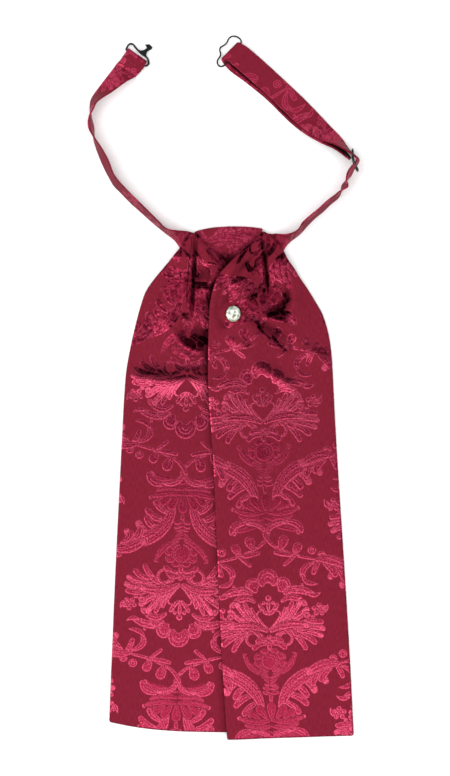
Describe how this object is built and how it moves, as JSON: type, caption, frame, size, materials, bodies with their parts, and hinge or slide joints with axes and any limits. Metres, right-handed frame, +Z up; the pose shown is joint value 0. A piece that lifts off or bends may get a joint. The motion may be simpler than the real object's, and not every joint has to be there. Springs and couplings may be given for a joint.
{
  "type": "ready-tied silk cravat",
  "caption": "Burgundy silk damask dress cravat, ready tied, with a hook-and-loop-wire neckband and a stone pin, laid flat.",
  "frame": {"origin": "on the table, under the middle of the laid-out cravat", "axes": "+Z up from the table, +Y from the hems towards the neckband, +X to the right of the front"},
  "size_m": [0.1953, 0.5067, 0.02],
  "materials": {
    "damask": "burgundy silk damask, dull satin ground with brighter crimson figure",
    "black_metal": "black japanned steel wire, semi gloss",
    "gilt_metal": "pale gilt, polished",
    "stone": "clear cut paste stone over foil"
  },
  "bodies": {
    "cravat": {"blade_left": "damask", "blade_right": "damask", "yoke": "damask", "neckband_left": "damask", "neckband_right": "damask", "slider": "black_metal", "pin_cup": "gilt_metal", "pin_stone": "stone"},
    "hook": {"hook": "black_metal"},
    "loop": {"loop": "black_metal"}
  },
  "joints": [
    {"name": "hook_swing", "type": "hinge", "parent": "cravat", "child": "hook", "pos_m": [-0.06342, 0.23761, 0.0021], "axis": [0.7634, -0.6459, 0], "range_deg": [0, 120]},
    {"name": "loop_swing", "type": "hinge", "parent": "cravat", "child": "loop", "pos_m": [0.00728, 0.24153, 0.0021], "axis": [0.6014, 0.7989, 0], "range_deg": [0, 120]}
  ]
}
